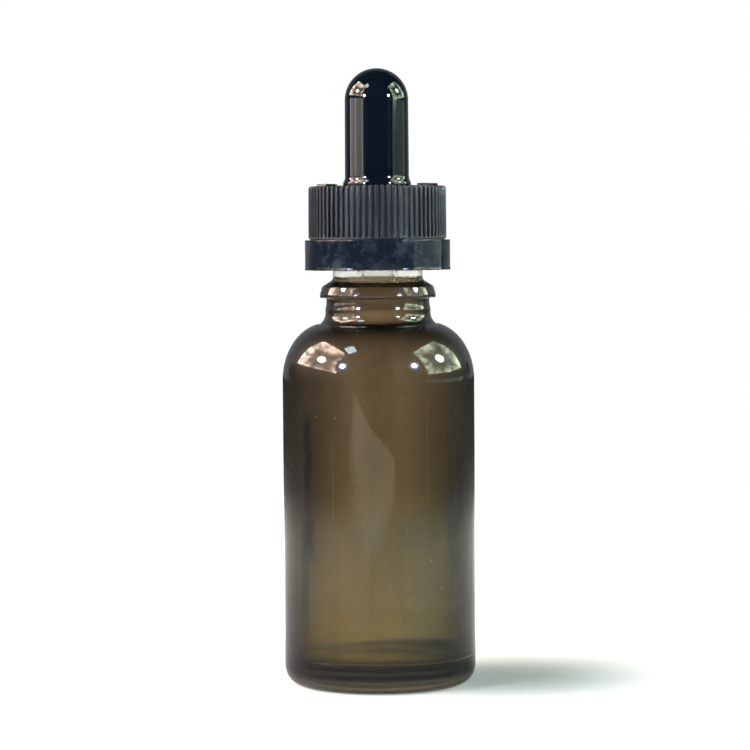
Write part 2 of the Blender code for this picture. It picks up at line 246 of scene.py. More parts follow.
def lathe(shape, outline, sides, offset=None, look_of=None):
    """Adds a skin turned round Z; an outline that starts off the axis closes into a loop.

    offset(angle, height, row) moves a point outwards, and look_of(row) picks a material.
    """
    rings = []
    for row, (radius, height) in enumerate(outline):
        if radius == 0.0:
            rings.append([shape.verts.new(polar(0.0, 0.0, height))])
            continue
        ring = []
        for side in range(sides):
            angle = math.tau * side / sides
            reach = radius + (offset(angle, height, row) if offset else 0.0)
            ring.append(shape.verts.new(polar(reach, angle, height)))
        rings.append(ring)
    pairs = [(row, rings[row], rings[row + 1]) for row in range(len(rings) - 1)]
    if outline[0][0] > 0.0:
        pairs.append((len(rings) - 1, rings[-1], rings[0]))
    for row, first, second in pairs:
        for side in range(sides):
            after = (side + 1) % sides
            corners = [first[side % len(first)], first[after % len(first)],
                       second[after % len(second)], second[side % len(second)]]
            face = shape.faces.new(list(dict.fromkeys(corners)))
            if look_of:
                face.material_index = look_of(row)
    return rings


def add_loft(shape, rings):
    """Adds a closed solid through rings of equally many points, with a cap on each end."""
    loops = [[shape.verts.new(point) for point in ring] for ring in rings]
    for lower, upper in zip(loops, loops[1:]):
        for i in range(len(lower)):
            j = (i + 1) % len(lower)
            shape.faces.new((lower[i], lower[j], upper[j], upper[i]))
    shape.faces.new(loops[0])
    shape.faces.new(loops[-1])


def sector_blocks(name, count, width_deg, section, first_deg=0.0):
    """Equal blocks round the axis: a section of (radius, height) points swept over width_deg."""
    steps = 6
    shape = bmesh.new()
    for block in range(count):
        middle = math.radians(first_deg) + math.tau * block / count
        half = math.radians(width_deg) / 2
        rings = []
        for step in range(steps + 1):
            angle = middle - half + 2 * half * step / steps
            rings.append([polar(radius, angle, height) for radius, height in section])
        add_loft(shape, rings)
    return finished(name, shape, [])


def join(target, tool):
    """Unites target with tool, applies the result and removes the tool."""
    step = target.modifiers.new(tool.name, "BOOLEAN")
    step.operation = "UNION"
    step.solver = "EXACT"
    step.object = tool
    evaluated = target.evaluated_get(bpy.context.evaluated_depsgraph_get())
    mesh = bpy.data.meshes.new_from_object(evaluated)
    target.modifiers.remove(step)
    old = target.data
    target.data = mesh
    bpy.data.meshes.remove(old)
    bpy.data.objects.remove(tool)
    target.data.set_sharp_from_angle(angle=math.radians(SHARP_DEG))


# ---------------------------------------------------------------- material helpers

class Nodes:
    """A short way to build a node tree: each call adds a node, sets its values and links its inputs."""

    def __init__(self, tree):
        self.tree = tree

    def plug(self, node, sockets):
        """Links each of the node's sockets to an output, or sets it to a constant."""
        for socket, source in sockets.items():
            if isinstance(source, bpy.types.NodeSocket):
                self.tree.links.new(source, node.inputs[socket])
            else:
                node.inputs[socket].default_value = source

    def add(self, kind, sockets=None, **settings):
        node = self.tree.nodes.new(kind)
        for key, value in settings.items():
            setattr(node, key, value)
        self.plug(node, sockets or {})
        return node

    def math(self, operation, first, second=0.0, clamp=False):
        node = self.add("ShaderNodeMath", {0: first, 1: second}, operation=operation, use_clamp=clamp)
        return node.outputs[0]

    def length(self, first, second):
        """The length of a flat vector with these two parts."""
        squares = [self.math("POWER", part, 2.0) for part in (first, second)]
        return self.math("SQRT", self.math("ADD", *squares))

    def remap(self, value, from_low, from_high, to_low=0.0, to_high=1.0):
        """A smooth step from to_low to to_high as the value goes from from_low to from_high."""
        node = self.add("ShaderNodeMapRange", {0: value, 1: from_low, 2: from_high, 3: to_low, 4: to_high},
                        interpolation_type="SMOOTHSTEP")
        return node.outputs[0]

    def near(self, value, centre, half_width):
        """1 at centre, fading to 0 at half_width on either side of it."""
        away = self.math("ABSOLUTE", self.math("SUBTRACT", value, centre))
        return self.remap(away, half_width, half_width * 0.3)

    def mixed(self, share, first, second):
        """Mixes two numbers."""
        node = self.add("ShaderNodeMix", {0: share, 2: first, 3: second})
        return node.outputs[0]

    def mix(self, share, first, second, blend="MIX"):
        """Mixes two colours."""
        node = self.add("ShaderNodeMix", {0: share, 6: first, 7: second}, data_type="RGBA", blend_type=blend)
        return node.outputs[2]

    def tinted(self, share, colour, tint):
        """Multiplies a colour by a tint, as far as share says."""
        return self.mix(share, colour, tint, "MULTIPLY")

    def noise(self, vector, scale, detail=3.0, roughness=0.55):
        node = self.add("ShaderNodeTexNoise", {"Vector": vector, "Scale": scale, "Detail": detail,
                                               "Roughness": roughness})
        return node.outputs[0]

    def scaled(self, colour, factor):
        node = self.add("ShaderNodeVectorMath", {0: colour, "Scale": factor}, operation="SCALE")
        return node.outputs[0]

    def stretched(self, vector, scale):
        node = self.add("ShaderNodeMapping", {"Vector": vector, "Scale": scale})
        return node.outputs[0]

    def bump(self, height, strength, distance):
        """A bump of this many millimetres."""
        node = self.add("ShaderNodeBump", {"Height": height, "Strength": strength, "Distance": distance * MM})
        return node.outputs[0]


def new_look(name):
    """A material with its node helper, its Principled shader and the object's own coordinates."""
    made = bpy.data.materials.new(name)
    made.use_nodes = True
    nodes = Nodes(made.node_tree)
    shader = made.node_tree.nodes["Principled BSDF"]
    place = nodes.add("ShaderNodeTexCoord").outputs["Object"]
    return made, nodes, shader, place


def rgb(red, green, blue):
    return (red, green, blue, 1.0)


WHITE = rgb(1.0, 1.0, 1.0)
BLACK = rgb(0.0, 0.0, 0.0)


# ---------------------------------------------------------------- materials

def clear_glass(name, bending=1.5):
    made, nodes, shader, place = new_look(name)
    swirl = nodes.noise(place, 60.0, 2.0)
    waves = nodes.noise(nodes.stretched(place, (1.0, 1.0, 0.35)), 150.0, 1.0)
    nodes.plug(shader, {
        "Base Color": nodes.mix(swirl, rgb(0.95, 0.955, 0.94), rgb(0.90, 0.90, 0.87)),
        "Transmission Weight": 1.0,
        "IOR": bending,
        "Roughness": nodes.remap(nodes.noise(place, 400.0, 2.0), 0.3, 0.8, 0.0, 0.03),
        "Normal": nodes.bump(waves, 0.15, 0.1),
    })
    return made


def runs_and_painted_highlights(nodes, film, place, parts):
    """Runs in the film: broad dark ones that wander a little, and straight pale lines that are painted
    highlights.
    """
    angle = nodes.math("ARCTAN2", parts.outputs["X"], nodes.math("MULTIPLY", parts.outputs["Y"], -1.0))
    wander = nodes.noise(nodes.stretched(place, (0.3, 0.3, 1.0)), 130.0, 3.0)
    patches = nodes.noise(nodes.stretched(place, (1.0, 1.0, 0.3)), 260.0, 3.0)
    patchy = nodes.remap(patches, 0.3, 0.55, 0.55, 1.0)
    for turn_deg, half_deg, low, high, fade, tint in RUNS_AND_PAINTED_HIGHLIGHTS:
        sway = nodes.math("MULTIPLY", nodes.math("SUBTRACT", wander, 0.5), math.radians(half_deg) * 1.3)
        here = nodes.near(nodes.math("ADD", angle, sway), math.radians(turn_deg), math.radians(half_deg))
        here = nodes.math("MULTIPLY", here, patchy)
        for edge, inside in ((low, low + fade), (high, high - fade)):
            here = nodes.math("MULTIPLY", here, nodes.remap(parts.outputs["Z"], edge * MM, inside * MM))
        film = nodes.tinted(here, film, rgb(*tint))
    return film


def film_colour(nodes, place, parts):
    """The film's tint: olive low down, browner above, with fine streaks, clouds, grain, upright runs and
    painted highlight lines.
    """
    higher = nodes.remap(parts.outputs["Z"], 18 * MM, 52 * MM)
    film = nodes.mix(higher, rgb(0.25, 0.176, 0.056), rgb(0.345, 0.228, 0.115))
    streaks = nodes.noise(nodes.stretched(place, (1.0, 1.0, 0.05)), 300.0, 3.0)
    film = nodes.tinted(nodes.remap(streaks, 0.4, 0.75, 0.0, 0.3), film, rgb(0.3, 0.28, 0.25))
    clouds = nodes.noise(place, 110.0, 4.0)
    film = nodes.tinted(nodes.remap(clouds, 0.35, 0.75, 0.0, 0.22), film, rgb(0.4, 0.42, 0.38))
    grain = nodes.noise(place, 1900.0, 2.0)
    film = nodes.tinted(nodes.remap(grain, 0.35, 0.65, 0.0, 0.3), film, rgb(0.55, 0.55, 0.6))
    return runs_and_painted_highlights(nodes, film, place, parts)


def let_through(nodes, height):
    """The share of light that gets through the film: it falls as the film is seen more from the side."""
    dense_end, thin_start = 17 * MM, 36 * MM
    aslant = nodes.add("ShaderNodeLayerWeight", {0: 0.5}).outputs["Facing"]
    aslant = nodes.math("POWER", aslant, nodes.remap(height, dense_end, thin_start, 2.0, 1.0))
    density = nodes.remap(height, dense_end, thin_start, 9.5, 6.5)
    return nodes.math("EXPONENT", nodes.math("MULTIPLY", nodes.math("MULTIPLY", aslant, density), -1.0))


def base_and_painted_heel_shade(nodes, film, place, parts):
    """The base's thick glass, with a pale line along its top that sags behind, and below it the heel, darkened
    as painted shade.
    """
    height = parts.outputs["Z"]
    behind = nodes.remap(parts.outputs["Y"], 0.0, 16 * MM)
    sag = nodes.math("SUBTRACT", 1.2 * MM, nodes.math("MULTIPLY", parts.outputs["X"], 0.1))
    level = nodes.math("ADD", height, nodes.math("MULTIPLY", nodes.noise(place, 90.0, 2.0), 0.3 * MM))
    level = nodes.math("ADD", level, nodes.math("MULTIPLY", behind, sag))
    within_base = nodes.remap(level, (BASE_GLASS + 0.5) * MM, (BASE_GLASS + 0.1) * MM)
    film = nodes.tinted(within_base, film, rgb(0.075, 0.12, 0.42))
    film = nodes.mix(nodes.near(level, (BASE_GLASS + 0.35) * MM, 0.14 * MM), film, rgb(0.45, 0.4, 0.3))
    flat = nodes.stretched(place, (1.0, 1.0, 0.0))
    radius = nodes.add("ShaderNodeVectorMath", {0: flat}, operation="LENGTH").outputs["Value"]
    # Painted shade: the heel darkens to a deep brown, standing in for the shadowed floor seen in it and
    # through it
    heel = nodes.math("MULTIPLY", nodes.remap(height, 2.6 * MM, 1.6 * MM),
                      nodes.remap(radius, 11.8 * MM, 13.2 * MM))
    return nodes.mix(heel, film, rgb(0.12, 0.094, 0.05))


def pinholes_and_chips(nodes, film, place, height):
    """Pale pinholes all over the film, and chips along the mould's parting line over the heel."""
    holes = nodes.add("ShaderNodeTexVoronoi", {"Vector": place, "Scale": 260.0, "Randomness": 1.0})
    film = nodes.mix(nodes.remap(holes.outputs["Distance"], 0.045, 0.025), film, rgb(0.6, 0.5, 0.32))
    chipped = nodes.remap(nodes.noise(place, 800.0, 2.0), 0.63, 0.67)
    chips = nodes.math("MULTIPLY", nodes.near(height, (HEEL_HEIGHT - 0.3) * MM, 0.3 * MM), chipped)
    return nodes.mix(chips, film, rgb(0.8, 0.8, 0.75))


def smoked_glass():
    """Glass with a thin smoked film outside: denser towards grazing light, streaked, with painted highlight
    lines and painted shade at the heel, bare above the bead.
    """
    made, nodes, shader, place = new_look("smoked_glass")
    parts = nodes.add("ShaderNodeSeparateXYZ", {0: place})
    height = parts.outputs["Z"]
    film = nodes.scaled(film_colour(nodes, place, parts), let_through(nodes, height))
    film = base_and_painted_heel_shade(nodes, film, place, parts)
    film = pinholes_and_chips(nodes, film, place, height)
    ragged = nodes.math("ADD", height, nodes.math("MULTIPLY", nodes.noise(place, 500.0, 2.0), 0.5 * MM))
    bare = nodes.remap(ragged, (COAT_END + 0.15) * MM, (COAT_END + 0.4) * MM)
    # Smooth low down and rough above, blended grain by grain instead of by a roughness in between
    speckle = nodes.add("ShaderNodeTexWhiteNoise", {"Vector": place}).outputs["Value"]
    rougher = nodes.math("LESS_THAN", speckle, nodes.remap(height, 8 * MM, 16 * MM))
    waves = nodes.noise(nodes.stretched(place, (1.0, 1.0, 0.3)), 70.0, 1.0)
    ripple = nodes.bump(waves, 0.1, 0.12)
    nodes.plug(shader, {
        "Base Color": nodes.mix(bare, film, rgb(0.95, 0.94, 0.89)),
        "Roughness": nodes.mixed(bare, nodes.mixed(rougher, 0.13, 0.4), 0.12),
        "Transmission Weight": 1.0,
        "IOR": 1.5,
        "Specular Tint": rgb(0.06, 0.06, 0.06),
        "Coat Weight": 1.0,
        "Coat Roughness": 0.0,
        "Coat IOR": 1.5,
        "Normal": ripple,
        "Coat Normal": ripple,
    })
    return made


def black_rubber():
    """The bulb: glossy blue-black rubber with upright drag marks from its mould."""
    made, nodes, shader, place = new_look("bulb_rubber")
    patches = nodes.noise(place, 350.0, 3.0)
    drag = nodes.noise(nodes.stretched(place, (1.0, 1.0, 0.15)), 400.0, 2.0)
    nodes.plug(shader, {
        "Base Color": nodes.mix(patches, rgb(0.0012, 0.0028, 0.0065), rgb(0.003, 0.005, 0.009)),
        "Roughness": nodes.remap(patches, 0.35, 0.75, 0.045, 0.085),
        "IOR": 1.5,
        "Normal": nodes.bump(drag, 0.1, 0.02),
    })
    return made


def satin_plastic():
    """The ribbed cap: satin blue-black, finely grained, a little paler in worn patches."""
    made, nodes, shader, place = new_look("ribbed_cap_plastic")
    grain = nodes.noise(place, 2500.0, 3.0, 0.7)
    wear = nodes.remap(nodes.noise(place, 220.0, 4.0), 0.35, 0.7)
    nodes.plug(shader, {
        "Base Color": nodes.mix(wear, rgb(0.007, 0.01, 0.016), rgb(0.013, 0.018, 0.026)),
        "Roughness": nodes.remap(grain, 0.3, 0.7, 0.28, 0.38),
        "IOR": 1.5,
        "Normal": nodes.bump(grain, 0.05, 0.02),
    })
    return made


def gloss_plastic():
    """The tamper ring: glossy blue-black with faint cloudy mottling."""
    made, nodes, shader, place = new_look("ring_plastic")
    clouds = nodes.noise(place, 330.0, 5.0, 0.68)
    mottled = nodes.remap(clouds, 0.42, 0.78)
    swell = nodes.noise(nodes.stretched(place, (1.0, 1.0, 0.8)), 190.0, 2.0)
    nodes.plug(shader, {
        "Base Color": nodes.mix(mottled, rgb(0.004, 0.007, 0.013), rgb(0.034, 0.038, 0.052)),
        "Roughness": nodes.remap(clouds, 0.35, 0.7, 0.05, 0.13),
        "IOR": 1.5,
        "Normal": nodes.bump(swell, 0.06, 0.04),
    })
    return made


def inner_plastic():
    """The inner cap: plain dark plastic with a fine grain."""
    made, nodes, shader, place = new_look("inner_cap_plastic")
    grain = nodes.noise(place, 1800.0, 3.0)
    nodes.plug(shader, {
        "Base Color": nodes.mix(grain, rgb(0.01, 0.01, 0.012), rgb(0.03, 0.03, 0.034)),
        "Roughness": nodes.remap(grain, 0.3, 0.7, 0.35, 0.5),
    })
    return made


# ---------------------------------------------------------------- pieces

def body_outside():
    """From the middle of the push-up over the foot, the heel and its parting line up the wall."""
    push_up = [(0.0, 0.9), (3.0, 0.88), (6.5, 0.78), (9.0, 0.58), (10.6, 0.28), (11.2, 0.06), (11.6, 0.0)]
    heel = arc((FOOT_RADIUS, HEEL_HEIGHT), (BODY_LOW_RADIUS - FOOT_RADIUS, HEEL_HEIGHT), -90, -12, 12)
    parting = [(BODY_LOW_RADIUS - 0.05, MOULD_LINE - 0.1), (BODY_LOW_RADIUS + 0.03, MOULD_LINE),
               (BODY_LOW_RADIUS + 0.05, MOULD_LINE + 0.12)]
    wall = [(BODY_LOW_RADIUS + 0.07, 4.6), (BODY_LOW_RADIUS + 0.01, 8.5), (BODY_LOW_RADIUS + 0.02, 20.0),
            (BODY_RADIUS - 0.03, 40.0)]
    return push_up + heel + parting + wall


def neck_outside():
    """From the shoulder over the neck, the transfer bead and the bare finish to the start of the thread."""
    width = BODY_RADIUS - SHOULDER_CENTRE
    outline = arc((SHOULDER_CENTRE, SHOULDER_START), (width, SHOULDER_RISE), 0, 75, 22)
    outline += arc((NECK_RADIUS + NECK_FILLET, NECK_START), (NECK_FILLET, NECK_FILLET), 252, 186, 10)
    outline += rounded([
        (NECK_RADIUS, NECK_START + 0.2), (NECK_RADIUS + 0.01, NECK_START + 0.6, 0.12),
        (NECK_RADIUS - 0.15, NECK_START + 1.3, 0.5), (NECK_RADIUS - 0.2, BEAD_UNDERSIDE, 0.35),
        (BEAD_RADIUS - 0.1, BEAD_UNDERSIDE, 0.14), (BEAD_RADIUS, BEAD_UNDERSIDE + 0.42, 0.2),
        (BEAD_RADIUS - 0.42, BEAD_UNDERSIDE + 1.97, 0.3), (BEAD_RADIUS - 0.65, BEAD_UNDERSIDE + 2.1),
    ], 5)
    fillet = (FINISH_FILLET, FINISH_FILLET)
    outline += arc((FINISH_RADIUS + FINISH_FILLET, FINISH_START), fillet, 238, 180, 12)
    outline += rounded([
        (FINISH_RADIUS, FINISH_START + 0.15), (FINISH_RADIUS, LOCKING_BEAD_UNDERSIDE - 1.2),
        (FINISH_RADIUS, LOCKING_BEAD_UNDERSIDE, 0.15),
        (LOCKING_BEAD_RADIUS, LOCKING_BEAD_UNDERSIDE + 0.05, 0.2),
        (LOCKING_BEAD_RADIUS - 0.05, LOCKING_BEAD_UNDERSIDE + 0.6, 0.2),
        (FINISH_RADIUS, LOCKING_BEAD_UNDERSIDE + 1.0, 0.2), (FINISH_RADIUS, LOCKING_BEAD_UNDERSIDE + 1.3),
    ])
    return outline


def thread_wall():
    """The straight wall that the thread grows out of, in rows close enough to carry it."""
    rows = 34
    rise = LIP_HEIGHT - 0.5 - THREAD_ROWS_START
    return [(FINISH_RADIUS, THREAD_ROWS_START + rise * row / rows) for row in range(rows)]


def lip_and_inside():
    """Over the lip, down the bore and round the chamber to the middle of the inner floor."""
    lip = rounded([(FINISH_RADIUS, LIP_HEIGHT - 0.6), (FINISH_RADIUS, LIP_HEIGHT, 0.5),
                   (BORE_RADIUS, LIP_HEIGHT, 0.4), (BORE_RADIUS, LIP_HEIGHT - 1.2)], 5)
    inside = arc((BORE_RADIUS + BORE_FILLET, BORE_END), (BORE_FILLET, BORE_FILLET), 180, 246, 10)
    width = CHAMBER_RADIUS - SHOULDER_CENTRE
    inside += arc((SHOULDER_CENTRE, SHOULDER_START), (width, CHAMBER_RISE), 84, 0, 18)
    inside += [(CHAMBER_RADIUS + 0.02, 30.0)]
    corner = (CHAMBER_RADIUS - INNER_CORNER, INNER_FLOOR + INNER_CORNER)
    inside += arc(corner, (INNER_CORNER, INNER_CORNER), 0, -84, 10)
    inside += [(8.0, INNER_FLOOR + 0.1), (4.0, INNER_FLOOR + 0.3), (0.0, INNER_FLOOR + 0.4)]
    return lip + inside


def thread_depth(angle, height, top, turns, crest, half_width):
    """How far a right-hand thread stands out at a place; it fades in and out over its ends."""
    depth = 0.0
    for turn in range(math.ceil(turns) + 1):
        along = (angle % math.tau) / math.tau - 1.0 - turn
        centre = top + THREAD_PITCH * along
        share = min(smooth_step(0.0, 0.08, -along), smooth_step(0.0, 0.08, turns + along))
        flank = 1.0 - smooth_step(0.35, 1.0, abs(height - centre) / half_width)
        depth = max(depth, crest * share * flank)
    return depth


def build_bottle():
    """One closed skin: the smoked look, bare above its film, outside, and clear glass from the lip inwards."""
    outside = body_outside() + neck_outside() + thread_wall()
    last_outside = len(outside) - 1

    def offset(angle, height, row):
        if row <= last_outside and THREAD_ROWS_START <= height <= THREAD_ROWS_END:
            return thread_depth(angle, height, THREAD_TOP, turns=1.1, crest=1.25, half_width=0.62)
        if row <= last_outside and SHOULDER_START > height > HEEL_HEIGHT + 1:
            from_seam = min(angle % math.pi, math.pi - angle % math.pi) * BODY_RADIUS
            return SEAM_HEIGHT * (1.0 - smooth_step(0.08, 0.3, from_seam))
        return 0.0

    shape = bmesh.new()
    lathe(shape, outside + lip_and_inside(), 256, offset, lambda row: 0 if row < last_outside else 1)
    bottle = finished("glass_bottle", shape, [smoked_glass(), clear_glass("bottle_inside_glass")], 60)
    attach(bottle, "bottle")
    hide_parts("bottle")


def build_pipette():
    """A glass tube, beaded at the top where the bulb grips it and drawn to a narrow tip."""
    bead_radius = PIPETTE_RADIUS + PIPETTE_BEAD
    outline = rounded([
        (PIPETTE_BORE, PIPETTE_TOP, 0.3), (PIPETTE_RADIUS, PIPETTE_TOP, 0.3),
        (bead_radius, PIPETTE_TOP - 0.5, 0.2), (bead_radius, PIPETTE_TOP - 1.0, 0.25),
        (PIPETTE_RADIUS, PIPETTE_TOP - 1.5, 0.3), (PIPETTE_RADIUS, PIPETTE_TAPER_START, 2.0),
        (3.25, 21.4, 1.0), (1.7, 14.0, 1.0), (1.28, PIPETTE_TIP + 0.4, 0.2), (1.1, PIPETTE_TIP, 0.1),
        (0.6, PIPETTE_TIP, 0.15), (0.68, 13.6, 0.5), (2.25, 21.8, 1.0),
        (PIPETTE_BORE, PIPETTE_TAPER_START, 1.0),
    ], 4, loop=True)
    shape = bmesh.new()
    lathe(shape, outline, 96)
    pipette = finished("glass_pipette", shape, [clear_glass("pipette_glass", 1.2)], 60)
    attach(pipette, "dropper")
    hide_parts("pipette")


def build_bulb():
    """A thin bulb with a sealing flange; a loop near each end of its wall keeps the shading straight."""
    dome = BULB_TOP - BULB_RADIUS
    outline = [(0.0, BULB_TOP)] + arc((0.0, dome), (BULB_RADIUS, BULB_RADIUS), 88, 0, 28)
    outline += [(BULB_RADIUS + 0.001, dome - 0.25), (BULB_FOOT_RADIUS - 0.001, BULB_FLARE_START + 0.25)]
    outline += arc((BULB_FOOT_RADIUS + BULB_FLARE, BULB_FLARE_START), (BULB_FLARE, BULB_FLARE), 180, 214, 8)
    outline += rounded([
        (5.84, 85.8), (BULB_STEM_RADIUS, 85.3, 0.3), (BULB_STEM_RADIUS, FLANGE_TOP + 0.05, 0.3),
        (FLANGE_RADIUS, FLANGE_TOP, 0.25), (FLANGE_RADIUS, FLANGE_UNDERSIDE, 0.25),
        (GRIP_RADIUS, FLANGE_UNDERSIDE, 0.2), (GRIP_RADIUS, 84.2, 0.3),
        (BULB_CAVITY, 84.8, 0.3), (BULB_CAVITY, 92.0),
    ], 5)
    outline += arc((0.0, dome), (BULB_CAVITY, BULB_CAVITY), 0, 86, 14) + [(0.0, dome + BULB_CAVITY)]
    shape = bmesh.new()
    lathe(shape, outline, 160)
    bulb = finished("bulb", shape, [black_rubber()], 60)
    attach(bulb, "dropper")
    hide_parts("rubber_bulb")


def build_inner_cap():
    """The threaded cap with its retaining rim, drive teeth and the stubs of the broken bridges."""
    rows = 26
    drop = CAP_THREAD_END - CAP_THREAD_START
    thread = [(SKIRT_BORE, CAP_THREAD_END - drop * row / rows) for row in range(rows + 1)]
    outline = rounded([
        (SKIRT_BORE, SKIRT_END + 0.6), (SKIRT_BORE + 0.05, SKIRT_END, 0.15), (SKIRT_RADIUS, SKIRT_END, 0.15),
        (SKIRT_RADIUS, RIM_UNDERSIDE, 0.1), (RIM_RADIUS, RIM_UNDERSIDE, 0.12),
        (RIM_RADIUS, RIM_UNDERSIDE + 0.7, 0.2), (SKIRT_RADIUS, RIM_UNDERSIDE + 1.3, 0.2),
        (SKIRT_RADIUS, PLATE_TOP, 0.3), (HOLE_RADIUS, PLATE_TOP, 0.15), (HOLE_RADIUS, PLATE_UNDERSIDE, 0.15),
        (SKIRT_BORE, PLATE_UNDERSIDE, 0.2), (SKIRT_BORE, CAP_THREAD_END + 0.4),
    ], 4)
    first_thread = len(outline)
    thread_top = THREAD_TOP - THREAD_PITCH / 2

    def offset(angle, height, row):
        if row < first_thread:
            return 0.0
        return -thread_depth(angle, height, thread_top, turns=0.76, crest=1.0, half_width=0.42)

    shape = bmesh.new()
    lathe(shape, outline + thread, 160, offset)
    cap = finished("inner_threaded_cap", shape, [inner_plastic()], 50)
    tooth_low, tooth_high = PLATE_TOP - 0.3, PLATE_TOP + 0.7
    tooth = [(TOOTH_INNER, tooth_low), (TOOTH_OUTER, tooth_low), (TOOTH_OUTER, tooth_high),
             (TOOTH_INNER, tooth_high)]
    join(cap, sector_blocks("drive_teeth", TOOTH_COUNT, TOOTH_DEG, tooth))
    stub = [(9.5, SKIRT_END - 0.6), (9.75, SKIRT_END - 0.6), (9.85, SKIRT_END + 0.3), (9.4, SKIRT_END + 0.3)]
    join(cap, sector_blocks("bridge_stubs", 8, 5.0, stub))
    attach(cap, "inner_cap")
    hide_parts("inner_cap")


def rib_cut(share):
    """The groove's depth along one rib's pitch, from 0 on the crest to 1 beyond the rib.

    Each rib is round before its crest and squarer after it.
    """
    from_crest = ((share - RIB_CREST + 0.5) % 1.0 - 0.5) * 2 / RIB_SHARE
    if abs(from_crest) >= 1.0:
        return 1.0
    squareness = 2.0 if from_crest < 0.0 else 3.2
    return RIB_FLANK_DEPTH * (1.0 - (1.0 - abs(from_crest) ** squareness) ** (1.0 / squareness))


def arrow(start_deg):
    """The flat outline of a raised arrow that points the way the cap opens: a curved shaft and a head."""
    inner, outer, overhang, shaft_deg, head_deg = 7.9, 9.7, 0.75, 24.0, 14.0
    start = math.radians(start_deg)
    shaft_end = start + math.radians(shaft_deg)
    steps = 14
    angles = [start + (shaft_end - start) * step / steps for step in range(steps + 1)]
    points = [(outer, angle) for angle in angles]
    points += [(outer + overhang, shaft_end), ((inner + outer) / 2, shaft_end + math.radians(head_deg))]
    points += [(inner - overhang, shaft_end)]
    points += [(inner, angle) for angle in reversed(angles)]
    return points


def raised_arrows():
    """Two solid arrows that reach into the cap's top, with a narrow bevel round their upper faces."""
    shape = bmesh.new()
    for start_deg in (-30.0, 150.0):
        marks = arrow(start_deg)
        levels = ((CAP_TOP - 0.65, 0.0), (CAP_TOP + 0.33, 0.0), (CAP_TOP + 0.45, 0.12))
        centre = sum((polar(r, a, 0.0) for r, a in marks), Vector()) / len(marks)
        rings = []
        for level, inset in levels:
            ring = []
            for radius, angle in marks:
                point = polar(radius, angle, level)
                flat = Vector((centre.x - point.x, centre.y - point.y, 0.0))
                ring.append(point + flat.normalized() * inset * MM)
            rings.append(ring)
        add_loft(shape, rings)
    return finished("arrows", shape, [])


def ribbed_shell():
    """The ribs run over the top edge; below, each groove ends in a small ledge above the plain foot."""
    outside = CAP_RADIUS + 0.05
    foot = rounded([(11.2, CAP_FOOT), (CAP_RADIUS - 0.25, CAP_FOOT, 0.12),
                    (CAP_RADIUS - 0.25, LEDGE - 0.1), (outside, LEDGE)], 4)
    wall = [(outside, LEDGE + rise) for rise in (0.08, 0.16, 0.24, 0.34, LEDGE_FADE, 0.6)]
    wall_rise = CAP_TOP - CAP_EDGE - LEDGE - 0.6
    wall += [(outside - 0.01 * step, LEDGE + 0.6 + wall_rise * step / 5) for step in range(1, 6)]
    brim = arc((CAP_RADIUS - CAP_EDGE, CAP_TOP - CAP_EDGE), (CAP_EDGE, CAP_EDGE), 15, 90, 5)
    brim += [(CAP_RADIUS - 0.55, CAP_TOP)]
    inside = rounded([
        (CAP_RADIUS - 0.95, CAP_TOP - CAP_RECESS), (HOLE_RADIUS, CAP_TOP - CAP_RECESS, 0.2),
        (HOLE_RADIUS, CAP_ROOF, 0.15), (CAP_BORE, CAP_ROOF, 0.2), (CAP_BORE, 78.2, 0.2),
        (RETAINING_BEAD_RADIUS, 77.8, 0.15), (RETAINING_BEAD_RADIUS, 77.4, 0.15), (CAP_BORE, 77.0, 0.1),
        (CAP_BORE + 0.05, CAP_FOOT, 0.1),
    ], 3)
    first_rib, last_rib = len(foot), len(foot) + len(wall) + len(brim) - 2

    def offset(angle, height, row):
        if not first_rib <= row <= last_rib:
            return 0.0
        pitch_share = angle * RIB_COUNT / math.tau % 1.0
        return -RIB_DEPTH * smooth_step(LEDGE, LEDGE + LEDGE_FADE, height) * rib_cut(pitch_share)

    shape = bmesh.new()
    rings = lathe(shape, foot + wall + brim + inside, RIB_COUNT * RIB_POINTS, offset)
    for ring in rings[last_rib - len(brim) + 2:last_rib + 1]:
        for side, vert in enumerate(ring):
            vert.co.z -= CAP_RECESS * rib_cut(side / RIB_POINTS % 1.0) * MM
    return finished("ribbed_cap", shape, [satin_plastic()], 50)


def build_outer_cap():
    cap = ribbed_shell()
    join(cap, raised_arrows())
    tooth = [(TOOTH_INNER, 83.65), (TOOTH_OUTER, 83.65), (TOOTH_OUTER, 84.7), (TOOTH_INNER, 84.7)]
    join(cap, sector_blocks("drive_lugs", TOOTH_COUNT, TOOTH_DEG, tooth, 22.5))
    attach(cap, "outer_cap")
    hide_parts("outer_cap")


